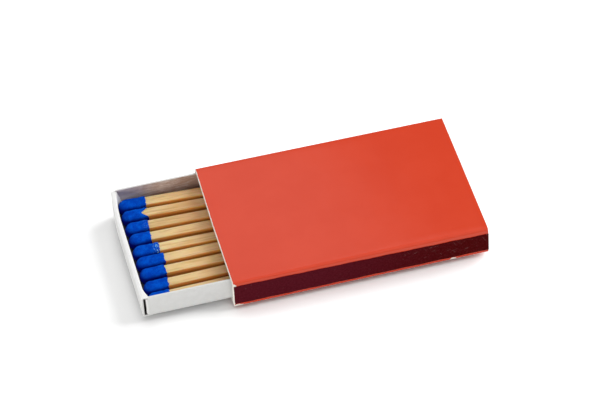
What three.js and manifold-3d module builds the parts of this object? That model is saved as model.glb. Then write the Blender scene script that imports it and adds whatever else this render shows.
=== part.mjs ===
// A slim card matchbox, partly open: a varnished sleeve with a striking strip on each side,
// a folded tray that slides through it, and one layer of matches lying in the tray.
// Millimetres, +Z up. The origin is the middle of the sleeve's underside. +X runs along the
// slide, the front with the glued seam is at -Y, and the tray stands open towards -X.

import * as THREE from "three";
import { mergeVertices } from "three/addons/utils/BufferGeometryUtils.js";
import Module from "manifold-3d";

// Sleeve: one card wrapped round, its flap glued inside the front panel
const SLEEVE_LENGTH = 53;
const SLEEVE_WIDTH = 34;
const SLEEVE_HEIGHT = 6.5;
const SLEEVE_CARD = 0.4;
const SLEEVE_FOLD = 0.85; // outer radius of the long folds
const SEAM_FLAP_TOP = 4.6; // height of the glued flap's free edge
const GLUE_FILM = 0.05;
const GLUE_MARGIN = 0.3; // bare card round the edge of the glue
const FRONT_PANEL_LIFT = 0.1; // the front panel's cut edge hangs this far above the underside

// Striking strips: films of compound on the two sides
const STRIP_TOP_MARGIN = 1.15;
const STRIP_BOTTOM_MARGIN = 0.55;
const STRIP_FILM = 0.1;

// Tray: one card folded into an open box
const TRAY_CARD = 0.38;
const TRAY_FOLD = 0.5; // outer radius of the folds along the floor
const TRAY_CORNER = 0.9; // outer radius where a side wall turns the corner
const TRAY_OPEN = 18.2; // how far the tray stands out of the sleeve
const TRAY_END_INSET = 0.2; // the closed tray's ends lie this far inside the sleeve's ends
const TRAY_SIDE_PLAY = 1.15; // sideways room in the sleeve
const TRAY_BACK_GAP = 0.15; // share of that room behind the tray
const TRAY_RUNNING_GAP = 0.1; // under the floor
const TRAY_HEADROOM = 0.3; // over the walls
const LAYER_GAP = 0.03; // air between layers of card at an end
const TAB_LENGTH = 3; // reach of a side wall's tab behind the end panel
const TAB_DROP = 0.3; // the tab's top edge below the rolled card
const FLAP_LEAN = THREE.MathUtils.degToRad(5); // the inner flap springs inwards
const FLAP_FLOOR_GAP = 0.3;
const PANEL_EDGE_INSET = 0.15; // an end panel is this much narrower on each side
const CARD_OVERLAP = 0.5; // stretch of card that two joined sweeps share

// Matches: heads against the open end, tails bunched together
const STICK_SIDE = 2.3;
const STICK_CHAMFER = 0.12;
const HEAD_COAT = 0.3; // compound on each side of the stick
const HEAD_NOSE = 1.5; // length of the rounded tip
const HEAD_TIP_COAT = 0.7; // compound beyond the stick's end
const HEAD_TAPER = 0.9; // length over which the coat thins out to the wood
const HEAD_EDGE = 0.1; // coat left where it meets the wood
const HEAD_SQUARENESS = 5; // exponent of the head's rounded-square section
const BOND_GAP = 0.02;
const DIP_LENGTHS = [4.4, 4.7, 4.9, 5.4, 4.9, 4.2, 4.3, 4.5, 4.85]; // head lengths, front to back
const GAP_SHARES = [2, 5, 9, 5, 4, 8, 5, 8, 5, 6]; // how the free width falls between the heads
const MATCH_REST_GAP = 0.05; // over the tray's floor
const MATCH_TIP_GAP = 0.1; // head to inner flap
const MATCH_PLAY = 3; // lengthwise room behind the tails
const TAIL_GAP = 0.75; // between neighbouring sticks at the tails
const TAIL_SHIFT = -0.4; // the bunch of tails lies off the tray's middle, towards the front

// Smoothness of the folds and heads
const FOLD_STEPS = 6;
const NOSE_STEPS = 4;
const HEAD_SIDES = 16;

const CARD_RED = { color: 0xd8482c, roughness: 0.4, metalness: 0 };
const COMPOUND_MAROON = { color: 0x46101a, roughness: 0.85, metalness: 0 };
const DRIED_GLUE = { color: 0xe6dcbf, roughness: 0.5, metalness: 0 };
const CARD_WHITE = { color: 0xe4e3de, roughness: 0.8, metalness: 0 };
const POPLAR = { color: 0xd8b47c, roughness: 0.7, metalness: 0 };
const COMPOUND_BLUE = { color: 0x0c46b4, roughness: 0.85, metalness: 0 };

const X_AXIS = new THREE.Vector3(1, 0, 0);
const Y_AXIS = new THREE.Vector3(0, 1, 0);
const Z_AXIS = new THREE.Vector3(0, 0, 1);
const ALONG_X = new THREE.Matrix4().makeBasis(Y_AXIS, Z_AXIS, X_AXIS); // section drawn in (y, z)
const ALONG_Y = new THREE.Matrix4().makeBasis(X_AXIS, Z_AXIS, Y_AXIS.clone().negate()); // (x, z)
const ALONG_Z = new THREE.Matrix4(); // (x, y)
const LATHE_TO_X = new THREE.Matrix4().makeBasis(Z_AXIS, X_AXIS, Y_AXIS);

const wasm = await Module();
wasm.setup();

function solidOf(geometry) {
  const bare = geometry.clone();
  bare.deleteAttribute("normal");
  bare.deleteAttribute("uv");
  const merged = mergeVertices(bare);
  const vertProperties = merged.getAttribute("position").array;
  const triVerts = new Uint32Array(merged.index.array);
  return new wasm.Manifold(new wasm.Mesh({ numProp: 3, vertProperties, triVerts }));
}

function geometryOf(solid) {
  const { vertProperties, triVerts, numProp } = solid.getMesh();
  const geometry = new THREE.BufferGeometry();
  geometry.setAttribute("position", new THREE.BufferAttribute(vertProperties, numProp));
  return geometry.setIndex(new THREE.BufferAttribute(triVerts, 1));
}

// A section swept straight from one station to another along the axis that the frame gives.
function sweep(section, from, to, frame) {
  const geometry = new THREE.ExtrudeGeometry(section, { depth: to - from, bevelEnabled: false });
  return geometry.translate(0, 0, from).applyMatrix4(frame);
}

function block(low, high) {
  const size = high.clone().sub(low);
  const middle = low.clone().add(high).multiplyScalar(0.5);
  return new THREE.BoxGeometry(...size).translate(...middle);
}

function piece(name, geometry, finish) {
  const mesh = new THREE.Mesh(geometry, new THREE.MeshStandardMaterial(finish));
  mesh.name = name;
  return mesh;
}

const leftOf = (direction) => new THREE.Vector2(-direction.y, direction.x);

// The edge-on outline of a card folded along a line of sharp corners. Each inner corner becomes
// an arc whose radius, to the middle of the card, is given in the order of the corners.
function foldedCard(corners, card, radii) {
  const left = [];
  const right = [];
  const put = (point, normal) => {
    left.push(point.clone().addScaledVector(normal, card / 2));
    right.push(point.clone().addScaledVector(normal, -card / 2));
  };
  const directions = corners.slice(1).map((corner, i) => corner.clone().sub(corners[i]).normalize());
  put(corners[0], leftOf(directions[0]));
  radii.forEach((radius, i) => {
    const turn = Math.atan2(
      directions[i].cross(directions[i + 1]),
      directions[i].dot(directions[i + 1]),
    );
    const side = Math.sign(turn);
    const setBack = radius * Math.tan(Math.abs(turn) / 2);
    const normal = leftOf(directions[i]);
    const centre = corners[i + 1].clone().addScaledVector(directions[i], -setBack);
    centre.addScaledVector(normal, side * radius);
    for (let step = 0; step <= FOLD_STEPS; step += 1) {
      const turned = normal.clone().rotateAround(new THREE.Vector2(), (turn * step) / FOLD_STEPS);
      put(centre.clone().addScaledVector(turned, -side * radius), turned);
    }
  });
  put(corners.at(-1), leftOf(directions.at(-1)));
  return new THREE.Shape([...left, ...right.reverse()]);
}

const point = (x, y) => new THREE.Vector2(x, y);

// Sleeve
const sleeveFront = -SLEEVE_WIDTH / 2;
const sleeveBack = SLEEVE_WIDTH / 2;
const seamFlapFront = sleeveFront + SLEEVE_CARD + GLUE_FILM;
const seamFlapBack = seamFlapFront + SLEEVE_CARD;

function sleeveGeometry() {
  const half = SLEEVE_CARD / 2;
  const corners = [
    point(seamFlapFront + half, SEAM_FLAP_TOP),
    point(seamFlapFront + half, half),
    point(sleeveBack - half, half),
    point(sleeveBack - half, SLEEVE_HEIGHT - half),
    point(sleeveFront + half, SLEEVE_HEIGHT - half),
    point(sleeveFront + half, FRONT_PANEL_LIFT),
  ];
  const radii = new Array(corners.length - 2).fill(SLEEVE_FOLD - half);
  const section = foldedCard(corners, SLEEVE_CARD, radii);
  return sweep(section, -SLEEVE_LENGTH / 2, SLEEVE_LENGTH / 2, ALONG_X);
}

function seamGlueGeometry() {
  const reach = SLEEVE_LENGTH / 2 - GLUE_MARGIN;
  const low = new THREE.Vector3(-reach, sleeveFront + SLEEVE_CARD, SLEEVE_FOLD + GLUE_MARGIN);
  const high = new THREE.Vector3(reach, seamFlapFront, SEAM_FLAP_TOP - GLUE_MARGIN);
  return block(low, high);
}

function stripGeometry(nearFace, farFace) {
  const low = new THREE.Vector3(-SLEEVE_LENGTH / 2, nearFace, STRIP_BOTTOM_MARGIN);
  const high = new THREE.Vector3(SLEEVE_LENGTH / 2, farFace, SLEEVE_HEIGHT - STRIP_TOP_MARGIN);
  return block(low, high);
}

// Tray, drawn about the middle of its own underside
const trayLength = SLEEVE_LENGTH - 2 * TRAY_END_INSET;
const trayWidth = sleeveBack - SLEEVE_CARD - seamFlapBack - TRAY_SIDE_PLAY;
const trayHeight = SLEEVE_HEIGHT - 2 * SLEEVE_CARD - TRAY_RUNNING_GAP - TRAY_HEADROOM;
const tabFace = TRAY_CARD + LAYER_GAP; // depths of the layers of card, from an end inwards
const flapFace = tabFace + TRAY_CARD + LAYER_GAP;
const cornerReach = tabFace + TRAY_CORNER;
const flapHinge = trayHeight - TRAY_CARD / 2;

// How far the inner face of an end's flap lies from that end, at a height over the underside.
const flapDepth = (height) => flapFace + TRAY_CARD + (flapHinge - height) * Math.tan(FLAP_LEAN);

function trayChannel() {
  const half = TRAY_CARD / 2;
  const wall = trayWidth / 2 - half;
  const corners = [point(-wall, trayHeight), point(-wall, half), point(wall, half), point(wall, trayHeight)];
  const radius = TRAY_FOLD - half;
  const reach = trayLength / 2 - cornerReach;
  return sweep(foldedCard(corners, TRAY_CARD, [radius, radius]), -reach, reach, ALONG_X);
}

// One end: floor, end panel, roll over the top and the flap that hangs inside. The flap is cut
// back beside the side walls' rounded corners, and the rolled card stays over them.
function trayEnd(side) {
  const half = TRAY_CARD / 2;
  const inwards = (depth) => side * (trayLength / 2 - depth);
  const flapMiddle = flapFace + half;
  const flapBottom = TRAY_CARD + FLAP_FLOOR_GAP;
  const corners = [
    point(inwards(cornerReach + CARD_OVERLAP), half),
    point(inwards(half), half),
    point(inwards(half), flapHinge),
    point(inwards(flapMiddle), flapHinge),
    point(inwards(flapDepth(flapBottom) - half), flapBottom),
  ];
  const roll = flapFace / 2 - LAYER_GAP;
  const section = foldedCard(corners, TRAY_CARD, [TRAY_FOLD - half, roll, roll]);
  const panelEdge = trayWidth / 2 - PANEL_EDGE_INSET;
  const flapEdge = trayWidth / 2 - TRAY_CORNER - LAYER_GAP;
  let end = solidOf(sweep(section, -panelEdge, panelEdge, ALONG_Y));
  const depths = [inwards(tabFace - LAYER_GAP / 2), inwards(flapDepth(0))];
  for (const hand of [-1, 1]) {
    const edges = [hand * flapEdge, hand * trayWidth / 2];
    const low = new THREE.Vector3(Math.min(...depths), Math.min(...edges), TRAY_CARD + LAYER_GAP);
    const high = new THREE.Vector3(Math.max(...depths), Math.max(...edges), trayHeight - TRAY_CARD);
    end = end.subtract(solidOf(block(low, high)));
  }
  return end;
}

// A side wall's rounded corner and the short tab that it ends in, behind the end panel.
function trayCorner(side, hand) {
  const half = TRAY_CARD / 2;
  const at = (depth, inset) => point(side * (trayLength / 2 - depth), hand * (trayWidth / 2 - inset));
  const corners = [
    at(cornerReach + CARD_OVERLAP, half),
    at(tabFace + half, half),
    at(tabFace + half, TAB_LENGTH),
  ];
  const section = foldedCard(corners, TRAY_CARD, [TRAY_CORNER - half]);
  return solidOf(sweep(section, TRAY_FOLD, trayHeight - TRAY_CARD - TAB_DROP, ALONG_Z));
}

function trayGeometry() {
  let shell = solidOf(trayChannel());
  for (const side of [-1, 1]) {
    shell = shell.add(trayEnd(side));
    for (const hand of [-1, 1]) {
      shell = shell.add(trayCorner(side, hand));
    }
  }
  return geometryOf(shell);
}

// Matches, each drawn along +X from the tip of its head
const headWidth = STICK_SIDE + 2 * HEAD_COAT;
const headHeight = TRAY_CARD + MATCH_REST_GAP + headWidth / 2;
const tailHeight = TRAY_CARD + MATCH_REST_GAP + STICK_SIDE / 2;
const tipDepth = flapDepth(headHeight) + MATCH_TIP_GAP;
const matchLength = trayLength - tipDepth - flapDepth(tailHeight) - MATCH_PLAY;
const headMiddle = HEAD_NOSE + HEAD_TIP_COAT;

function stickSection(side) {
  const edge = side / 2;
  const flat = edge - STICK_CHAMFER;
  return new THREE.Shape([
    point(edge, -flat),
    point(edge, flat),
    point(flat, edge),
    point(-flat, edge),
    point(-edge, flat),
    point(-edge, -flat),
    point(-flat, -edge),
    point(flat, -edge),
  ]);
}

function stickGeometry() {
  return sweep(stickSection(STICK_SIDE), HEAD_TIP_COAT, matchLength, ALONG_X);
}

// A turned lump whose round section is pushed out to a rounded square, hollowed for the stick.
function headGeometry(dip) {
  const full = headWidth / 2;
  const profile = [];
  for (let step = 0; step <= NOSE_STEPS; step += 1) {
    const angle = (step / NOSE_STEPS) * (Math.PI / 2);
    profile.push(point(full * Math.sin(angle), HEAD_NOSE * (1 - Math.cos(angle))));
  }
  profile[0].x = 0;
  profile.push(point(full, dip - HEAD_TAPER));
  profile.push(point(STICK_SIDE / 2 + BOND_GAP + HEAD_EDGE, dip));
  profile.push(point(0, dip));
  const lump = new THREE.LatheGeometry(profile, HEAD_SIDES);
  const spots = lump.getAttribute("position");
  for (let i = 0; i < spots.count; i += 1) {
    const angle = Math.atan2(spots.getX(i), spots.getZ(i));
    const across = Math.abs(Math.cos(angle)) ** HEAD_SQUARENESS;
    const upright = Math.abs(Math.sin(angle)) ** HEAD_SQUARENESS;
    const push = (across + upright) ** (-1 / HEAD_SQUARENESS);
    spots.setX(i, spots.getX(i) * push);
    spots.setZ(i, spots.getZ(i) * push);
  }
  const socket = sweep(
    stickSection(STICK_SIDE + 2 * BOND_GAP),
    HEAD_TIP_COAT - BOND_GAP,
    dip + HEAD_TAPER,
    ALONG_X,
  );
  return geometryOf(solidOf(lump.applyMatrix4(LATHE_TO_X)).subtract(solidOf(socket)));
}

// Where the middle of each head lies across the tray, from the front wall to the back one.
function headPlaces() {
  const inside = trayWidth - 2 * TRAY_CARD;
  const free = inside - DIP_LENGTHS.length * headWidth;
  const shares = GAP_SHARES.reduce((sum, share) => sum + share, 0);
  let edge = -inside / 2;
  return DIP_LENGTHS.map((_, i) => {
    edge += (free * GAP_SHARES[i]) / shares + headWidth;
    return edge - headWidth / 2;
  });
}

// A match lies on its head and its tail, turned a little so that the tails come together.
function matchGroup(number, dip, headPlace) {
  const middle = (DIP_LENGTHS.length + 1) / 2;
  const tailPlace = TAIL_SHIFT + (number - middle) * (STICK_SIDE + TAIL_GAP);
  const reach = matchLength - headMiddle;
  const tip = tipDepth - trayLength / 2;
  const head = new THREE.Vector3(tip + headMiddle, headPlace, headHeight);
  const tail = new THREE.Vector3(tip + matchLength, tailPlace, tailHeight);
  const run = tail.sub(head);
  const match = new THREE.Group();
  match.rotation.set(0, Math.asin(-run.z / reach), Math.atan2(run.y, run.x), "ZYX");
  match.position.copy(head).addScaledVector(run.normalize(), -headMiddle);
  match.add(piece(`stick_${number}`, stickGeometry(), POPLAR));
  match.add(piece(`head_${number}`, headGeometry(dip), COMPOUND_BLUE));
  return match;
}

const tray = new THREE.Group();
tray.position.set(
  trayLength / 2 - SLEEVE_LENGTH / 2 - TRAY_OPEN,
  sleeveBack - SLEEVE_CARD - TRAY_BACK_GAP - trayWidth / 2,
  SLEEVE_CARD + TRAY_RUNNING_GAP,
);
tray.add(piece("tray", trayGeometry(), CARD_WHITE));
headPlaces().forEach((place, i) => tray.add(matchGroup(i + 1, DIP_LENGTHS[i], place)));

const matchbox = new THREE.Group();
matchbox.add(piece("sleeve", sleeveGeometry(), CARD_RED));
matchbox.add(piece("seam_glue", seamGlueGeometry(), DRIED_GLUE));
matchbox.add(piece("striker_front", stripGeometry(sleeveFront - STRIP_FILM, sleeveFront), COMPOUND_MAROON));
matchbox.add(piece("striker_back", stripGeometry(sleeveBack, sleeveBack + STRIP_FILM), COMPOUND_MAROON));
matchbox.add(tray);

export default matchbox;
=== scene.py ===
# %% [markdown]
# # A card matchbox, finished in Blender
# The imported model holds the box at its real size: a sleeve, a tray that slides in it, and nine loose
# matches. In this lesson each of those pieces gets the surface of the real thing: varnished card with
# white cut edges, a rough striking film, grey board, chopped wood and dried head compound. Everything
# is in metres and in the model's own frame, so a piece that is built on a measured box needs no fitting.
# Patterns are easier to think of in millimetres, so the two boxes are kept in that unit too.

# %% The frame
import math

import bmesh
import bpy
from mathutils import Matrix, Vector


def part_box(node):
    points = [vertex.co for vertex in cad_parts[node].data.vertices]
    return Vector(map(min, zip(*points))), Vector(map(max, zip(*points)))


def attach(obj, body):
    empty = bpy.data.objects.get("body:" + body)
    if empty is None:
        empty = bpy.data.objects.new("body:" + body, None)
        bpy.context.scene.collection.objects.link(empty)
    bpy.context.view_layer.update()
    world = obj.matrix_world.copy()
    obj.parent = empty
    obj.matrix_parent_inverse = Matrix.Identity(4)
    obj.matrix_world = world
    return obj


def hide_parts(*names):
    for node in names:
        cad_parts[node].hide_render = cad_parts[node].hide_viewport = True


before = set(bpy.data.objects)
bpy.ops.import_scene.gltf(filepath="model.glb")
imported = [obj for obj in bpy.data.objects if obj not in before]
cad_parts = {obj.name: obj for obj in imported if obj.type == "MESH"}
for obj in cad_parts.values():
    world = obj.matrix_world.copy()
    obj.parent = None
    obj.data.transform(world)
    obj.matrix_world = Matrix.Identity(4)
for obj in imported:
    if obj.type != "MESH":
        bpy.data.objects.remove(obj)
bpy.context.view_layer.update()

MM = 0.001

sleeve_low, sleeve_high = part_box("sleeve")
tray_low, tray_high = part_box("tray")
sleeve_low_mm = sleeve_low / MM
sleeve_high_mm = sleeve_high / MM
tray_low_mm = tray_low / MM
tray_high_mm = tray_high / MM
print("sleeve, mm:", [round(v, 2) for v in sleeve_high_mm - sleeve_low_mm])
print("tray, mm:", [round(v, 2) for v in tray_high_mm - tray_low_mm])

# %% [markdown]
# ## Wiring nodes from Python
# Materials and geometry trees are both made of nodes, and a long chain of sums is hard to read as node
# calls. The nodes could be set out by hand in the editor, but a script makes the same tree on each run.
# A small class wraps an output socket, and Python's operators on it add the Math nodes.

# %% Wires
class Wire:
    """An output of a node. Python's operators on it add Math nodes."""

    def __init__(self, bench, socket):
        self.bench = bench
        self.socket = socket

    def out(self, name):
        """Another output of the same node."""
        return Wire(self.bench, self.socket.node.outputs[name])

    def math(self, operation, *values):
        return self.bench.node("ShaderNodeMath", {"operation": operation}, dict(enumerate((self, *values))))

    def __add__(self, other):
        return self.math("ADD", other)

    def __sub__(self, other):
        return self.math("SUBTRACT", other)

    def __rsub__(self, other):
        return self.bench.node("ShaderNodeMath", {"operation": "SUBTRACT"}, {0: other, 1: self})

    def __mul__(self, other):
        return self.math("MULTIPLY", other)

    def __truediv__(self, other):
        return self.math("DIVIDE", other)

    def __rtruediv__(self, other):
        return self.bench.node("ShaderNodeMath", {"operation": "DIVIDE"}, {0: other, 1: self})

    def __pow__(self, other):
        return self.math("POWER", other)

    __radd__ = __add__
    __rmul__ = __mul__

    def ramp(self, low, high):
        """0 at low and 1 at high, with a soft start and end. Low may be the larger one."""
        sockets = {"Value": self, "From Min": low, "From Max": high}
        return self.bench.node("ShaderNodeMapRange", {"interpolation_type": "SMOOTHSTEP"}, sockets)

    def vector_math(self, operation, other):
        return self.bench.node("ShaderNodeVectorMath", {"operation": operation}, {0: self, 1: other})

    def stretched(self, run):
        """This vector times another, axis by axis, which stretches a pattern that is laid on it."""
        return self.vector_math("MULTIPLY", run)

    def scaled(self, factor):
        """This vector times one number."""
        sockets = {"Vector": self, "Scale": factor}
        return self.bench.node("ShaderNodeVectorMath", {"operation": "SCALE"}, sockets)


# %% [markdown]
# ## A bench for the nodes
# Every other node comes from one method, which takes its type, its settings and its sockets. Settings go
# first, because they can change what a socket means. A noise is given by its scale, its detail and its
# roughness, and the finishes below keep those in one named value.

# %% Bench
class Bench:
    """A node tree that nodes are set out on."""

    def __init__(self, tree):
        self.tree = tree

    def node(self, kind, settings=None, sockets=None, output=0):
        made = self.tree.nodes.new(kind)
        for name, value in (settings or {}).items():
            setattr(made, name, value)
        for name, value in (sockets or {}).items():
            if isinstance(value, Wire):
                self.tree.links.new(value.socket, made.inputs[name])
            else:
                made.inputs[name].default_value = value
        return Wire(self, made.outputs[output])

    def mix(self, factor, first, second):
        """A colour between two others. A Mix node's colours are its sockets 6 and 7 and its output 2."""
        return self.node("ShaderNodeMix", {"data_type": "RGBA"}, {0: factor, 6: first, 7: second}, 2)

    def split(self, vector):
        first = self.node("ShaderNodeSeparateXYZ", {}, {0: vector})
        return first, first.out("Y"), first.out("Z")

    def vector(self, x, y, z):
        return self.node("ShaderNodeCombineXYZ", {}, {0: x, 1: y, 2: z})

    def noise(self, where, scale, detail, roughness=0.5):
        sockets = {"Vector": where, "Scale": scale, "Detail": detail, "Roughness": roughness}
        return self.node("ShaderNodeTexNoise", {}, sockets)

    def seeded_noise(self, where, seed, scale, detail, output=0):
        """Noise that is another one for each seed."""
        sockets = {"Vector": where, "W": seed, "Scale": scale, "Detail": detail}
        return self.node("ShaderNodeTexNoise", {"noise_dimensions": "4D"}, sockets, output)

    def spot(self, where, centre, reach):
        """1 in the middle of an egg-shaped spot, and 0 at its edge and beyond."""
        apart = where.vector_math("SUBTRACT", centre).vector_math("DIVIDE", reach)
        distance = self.node("ShaderNodeVectorMath", {"operation": "LENGTH"}, {0: apart}, "Value")
        return (1 - distance).math("MAXIMUM", 0.0)

    def bump(self, height, depth):
        return self.node("ShaderNodeBump", {}, {"Strength": 1.0, "Distance": depth, "Height": height})


# %% [markdown]
# ## What a finish is made of
# A finish is a function that wires up whatever varies over a surface, such as its colour. What is the
# same all over is set on the shader's own sockets. Patterns could be wrapped on with a UV map, but flat
# card needs none: Object coordinates, counted in millimetres, keep every pattern at its true size.

# %% Finishes
def surface(name, paint, fixed):
    """A material on the Principled shader: paint wires what varies, and fixed is set on the sockets."""
    material = bpy.data.materials.new(name)
    material.use_nodes = True
    shader = material.node_tree.nodes["Principled BSDF"]
    for socket, value in fixed.items():
        shader.inputs[socket].default_value = value
    bench = Bench(material.node_tree)
    for socket, wire in paint(bench).items():
        bench.tree.links.new(wire.socket, shader.inputs[socket])
    print("finish:", name, "with", len(material.node_tree.nodes), "nodes")
    return material


def object_mm(bench):
    """Object coordinates in millimetres."""
    return bench.node("ShaderNodeTexCoord", {}, {}, "Object").scaled(1 / MM)


def attribute(bench, name, output):
    return bench.node("ShaderNodeAttribute", {"attribute_name": name}, {}, output)


# %% [markdown]
# ## The camera
# The photograph was matched by its straight edges: the long sleeve gives the turn, its width against its
# height gives the elevation, and the slight narrowing towards the back gives the distance. The camera
# could be aimed with a track-to constraint, but it is also rolled by a few degrees, so its three axes
# are put together by hand.

# %% Camera
PHOTO_WIDTH = 612
SENSOR_WIDTH = 36
FOCAL_PIXELS = 3480.8
CAMERA_TURN = math.radians(-11.97)
CAMERA_ELEVATION = math.radians(44.92)
CAMERA_ROLL = math.radians(-3.50)
CAMERA_DISTANCE = 699.7 * MM
CAMERA_ASIDE = -11.30 * MM
CAMERA_RAISED = 15.03 * MM


def set_camera():
    level = Vector((math.sin(CAMERA_TURN), -math.cos(CAMERA_TURN), 0))
    back = level * math.cos(CAMERA_ELEVATION) + Vector((0, 0, math.sin(CAMERA_ELEVATION)))
    right = Vector((0, 0, 1)).cross(back).normalized()
    up = back.cross(right)
    rolled_right = right * math.cos(CAMERA_ROLL) + up * math.sin(CAMERA_ROLL)
    rolled_up = up * math.cos(CAMERA_ROLL) - right * math.sin(CAMERA_ROLL)
    aim = Vector((0, sleeve_low.y, sleeve_low.z))
    eye = aim + back * CAMERA_DISTANCE + rolled_right * CAMERA_ASIDE + rolled_up * CAMERA_RAISED
    lens = bpy.data.cameras.new("photo camera")
    lens.sensor_fit = "HORIZONTAL"
    lens.sensor_width = SENSOR_WIDTH
    lens.lens = FOCAL_PIXELS * SENSOR_WIDTH / PHOTO_WIDTH
    camera = bpy.data.objects.new("photo camera", lens)
    axes = Matrix((rolled_right, rolled_up, back)).transposed()
    camera.matrix_world = Matrix.Translation(eye) @ axes.to_4x4()
    bpy.context.scene.collection.objects.link(camera)
    bpy.context.scene.camera = camera
    return camera


camera = set_camera()
print("camera:", [round(v / MM) for v in camera.location], "mm, lens", round(camera.data.lens, 1), "mm")

# %% [markdown]
# ## A white table
# Card never lies quite flat, so the table is laid a little below the base, which leaves the line of
# shade that is seen under a real box. Light alone could burn the table out to white, but it would wash
# out the card too. Instead the plain white is lifted only for the camera's own rays. There is no metal
# or glass here to mirror the table, so all other rays meet the plain white.

# %% Table
FLOOR_REACH = 3.0
FLOOR_CORNERS = ((-1, -1), (1, -1), (1, 1), (-1, 1))
FLOOR_DROP = 1.1 * MM
FLOOR_WHITE = (0.86, 0.86, 0.86, 1)
FLOOR_SEEN = (1.46, 1.46, 1.46, 1)


def floor_material():
    material = bpy.data.materials.new("white table")
    material.use_nodes = True
    tree = material.node_tree
    tree.nodes.clear()
    bench = Bench(tree)
    seen = bench.node("ShaderNodeLightPath", {}, {}, "Is Camera Ray")
    paint = bench.node("ShaderNodeBsdfDiffuse", {}, {"Color": bench.mix(seen, FLOOR_WHITE, FLOOR_SEEN)})
    sink = tree.nodes.new("ShaderNodeOutputMaterial")
    tree.links.new(paint.socket, sink.inputs["Surface"])
    return material


def lay_table():
    mesh = bpy.data.meshes.new("table")
    corners = [(x * FLOOR_REACH, y * FLOOR_REACH, -FLOOR_DROP) for x, y in FLOOR_CORNERS]
    mesh.from_pydata(corners, [], [(0, 1, 2, 3)])
    mesh.materials.append(floor_material())
    table = bpy.data.objects.new("table", mesh)
    bpy.context.scene.collection.objects.link(table)
    return table


table = lay_table()
print("table:", round(FLOOR_DROP / MM, 2), "mm below the base")

# %% [markdown]
# ## Soft studio light
# A broad lamp at the right throws the soft shadow to the left. A low lamp lights the walls that face the
# camera. Both would show as hard spots in the varnish, so neither is mirrored: a white cloth overhead
# and a panel behind give it its sheen. The low lamp would also fill the shade under the box. A
# photographer puts up a flag against that, and light linking does the same for this one lamp.

# %% Lamps and surroundings
PURE_WHITE = (1, 1, 1, 1)
SKY_STRENGTH = 0.25
LAMPS = {
    "broad lamp": {"place": Vector((0.77, 0.13, 0.60)), "width": 0.8, "height": 0.8, "watts": 8.4},
    "front lamp": {"place": Vector((-1.08, -0.58, 0.20)), "width": 0.9, "height": 0.3, "watts": 8.7},
    "overhead cloth": {
        "place": Vector((0, -0.25, 1.1)), "width": 1.6, "height": 2.4, "watts": 5.2, "mirrored": True,
    },
    "sheen panel": {
        "place": Vector((-0.144, 0.705, 0.938)), "width": 0.77, "height": 0.45, "watts": 0.86,
        "turn": math.radians(3), "mirrored": True,
    },
}


def hang_lamp(name, place, width, height, watts, turn=0.0, mirrored=False):
    lamp = bpy.data.lights.new(name, "AREA")
    lamp.shape = "RECTANGLE"
    lamp.size = width
    lamp.size_y = height
    lamp.energy = watts
    holder = bpy.data.objects.new(name, lamp)
    holder.visible_glossy = mirrored
    aim = (-place).to_track_quat("-Z", "Y").to_matrix().to_4x4()
    holder.matrix_world = Matrix.Translation(place) @ aim @ Matrix.Rotation(turn, 4, "Z")
    bpy.context.scene.collection.objects.link(holder)
    return holder


def shade_table(lamp, table):
    """Keeps a lamp's light off the table, as a flag does in a studio."""
    flag = bpy.data.collections.new("kept off the table")
    flag.objects.link(table)
    flag.collection_objects[0].light_linking.link_state = "EXCLUDE"
    lamp.light_linking.receiver_collection = flag


def set_surroundings():
    world = bpy.data.worlds.new("light tent")
    world.use_nodes = True
    bpy.context.scene.world = world
    bench = Bench(world.node_tree)
    seen = bench.node("ShaderNodeLightPath", {}, {}, "Is Camera Ray")
    strength = SKY_STRENGTH + seen * (1 - SKY_STRENGTH)
    background = world.node_tree.nodes["Background"]
    background.inputs["Color"].default_value = PURE_WHITE
    bench.tree.links.new(strength.socket, background.inputs["Strength"])


lamps = {name: hang_lamp(name, **setting) for name, setting in LAMPS.items()}
shade_table(lamps["front lamp"], table)
set_surroundings()
bpy.context.scene.view_settings.view_transform = "Standard"
print("lamps, watts:", {name: round(lamp.data.energy, 2) for name, lamp in lamps.items()})

# %% [markdown]
# ## Varnished red card
# The sleeve is white-backed card, printed orange-red and varnished. The ink is worn off along the mouth,
# where the tray is pushed in and out, and in a few chips, and the long folds are rubbed a little paler.
# The wear could be painted by hand, but masks of the distance to an edge, roughened by noise, follow
# the card by themselves.

# %% Red card
RED_DEEP = (0.69, 0.047, 0.0105, 1)
RED_LIGHT = (0.71, 0.052, 0.0135, 1)
BARE_PAPER = (0.93, 0.87, 0.78, 1)
INK_CLOUD = (0.12, 3.0)
INK_RANGE = (0.3, 0.7)
RAGGED = (2.3, 4.0, 0.65)
MOUTH_SKEW = 0.25 * MM
MOUTH_WEAR = 0.14
MOUTH_BLUR = (0.06, -0.04)
FAR_WEAR = 0.12
FAR_BLUR = (0.05, -0.03)
TORN = {
    "fold at the mouth": ((sleeve_low_mm.x, sleeve_low_mm.y + 0.1, 5.75), (1.2, 1.0, 0.75)),
    "low corner": ((sleeve_low_mm.x, sleeve_low_mm.y, 0.0), (3.4, 1.2, 0.75)),
    "chip in the low edge": ((19.0, sleeve_low_mm.y, 0.1), (1.05, 0.8, 0.6)),
}
TORN_RAGGED = 0.7
TORN_EDGE = (0.32, 0.42)
FOLD_RUB = 0.011
RUB_FROM_SIDE = (0.45, 0.1)
RUB_BELOW_TOP = (1.5, 0.8)
VARNISH_GRAIN = (5.5, 3.0, 0.6)
VARNISH_WAVES = (0.3, 1.0)
VARNISH_ROUGHNESS = 0.11
VARNISH_RELIEF = 0.06 * MM


def from_mouth(x, y):
    """Distance in mm to the cut at the mouth, which is a little out of square at the back."""
    return x - sleeve_low_mm.x - MOUTH_SKEW / sleeve_high.y * y.math("MAXIMUM", 0.0)


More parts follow.
